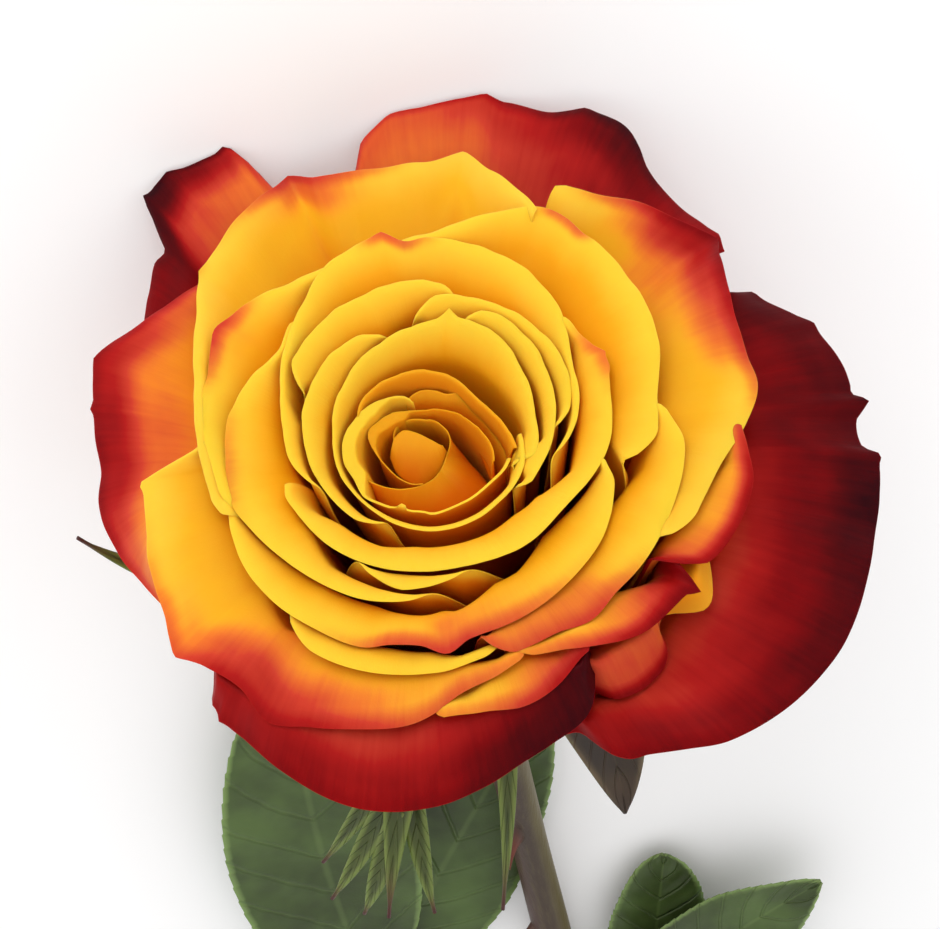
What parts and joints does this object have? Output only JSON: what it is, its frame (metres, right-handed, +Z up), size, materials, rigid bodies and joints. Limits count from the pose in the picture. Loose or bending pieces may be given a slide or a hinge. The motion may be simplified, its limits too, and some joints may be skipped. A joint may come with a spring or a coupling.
{
  "type": "cut rose",
  "caption": "Cut rose lying on a surface: a wide open bloom of layered yellow petals with red outer petals, turned up, on a long thorny stem with serrated compound leaves.",
  "frame": {"origin": "bottom centre of the box round the whole rose, on the surface that it lies on", "axes": "+Y along the stem from the bloom to the cut end, +Z up; the bloom faces -Y and up"},
  "size_m": [0.1278, 0.402, 0.094],
  "materials": {
    "petal_heart": "soft matte, light shines through",
    "petal_inner": "soft matte, light shines through",
    "petal_middle": "soft matte with a red margin",
    "petal_outer": "velvety, red over an orange base",
    "petal_blush": "velvety, coral over a yellow base",
    "sepal": "matte green with brown tips",
    "leaf": "satin dark green with sunken veins",
    "stem": "satin brown-green bark"
  },
  "bodies": {
    "root": {"petal_outer_top": "petal_outer", "petal_outer_upper_left": "petal_outer", "petal_outer_right": "petal_outer", "petal_outer_left": "petal_blush", "petal_outer_lower": "petal_outer", "petal_outer_fold": "petal_blush", "petal_lower_right": "petal_middle", "petal_right_low": "petal_middle", "petal_right": "petal_middle", "petal_lower_left": "petal_middle", "petal_upper_left": "petal_middle", "petal_upper_right": "petal_middle", "petal_rim_right": "petal_inner", "petal_broad_right": "petal_inner", "petal_rim_below": "petal_inner", "petal_near": "petal_inner", "petal_upper_left_inner": "petal_inner", "petal_left_inner": "petal_inner", "petal_sliver": "petal_inner", "petal_ring_right": "petal_inner", "petal_ring_top": "petal_inner", "petal_fold_right": "petal_inner", "petal_fold_top": "petal_inner", "petal_inner_left": "petal_inner", "petal_inner_right": "petal_inner", "petal_inner_top": "petal_inner", "petal_heart_top": "petal_heart", "petal_heart_near": "petal_inner", "petal_heart_lip": "petal_heart", "petal_heart_curl": "petal_heart", "sepal_left": "sepal", "sepal_lobed": "sepal", "sepal_lower": "sepal", "sepal_right": "sepal", "sepal_under": "sepal", "leaf_upper": "leaf", "leaf_middle": "leaf", "leaf_lower": "leaf", "stem": "stem"}
  },
  "joints": []
}
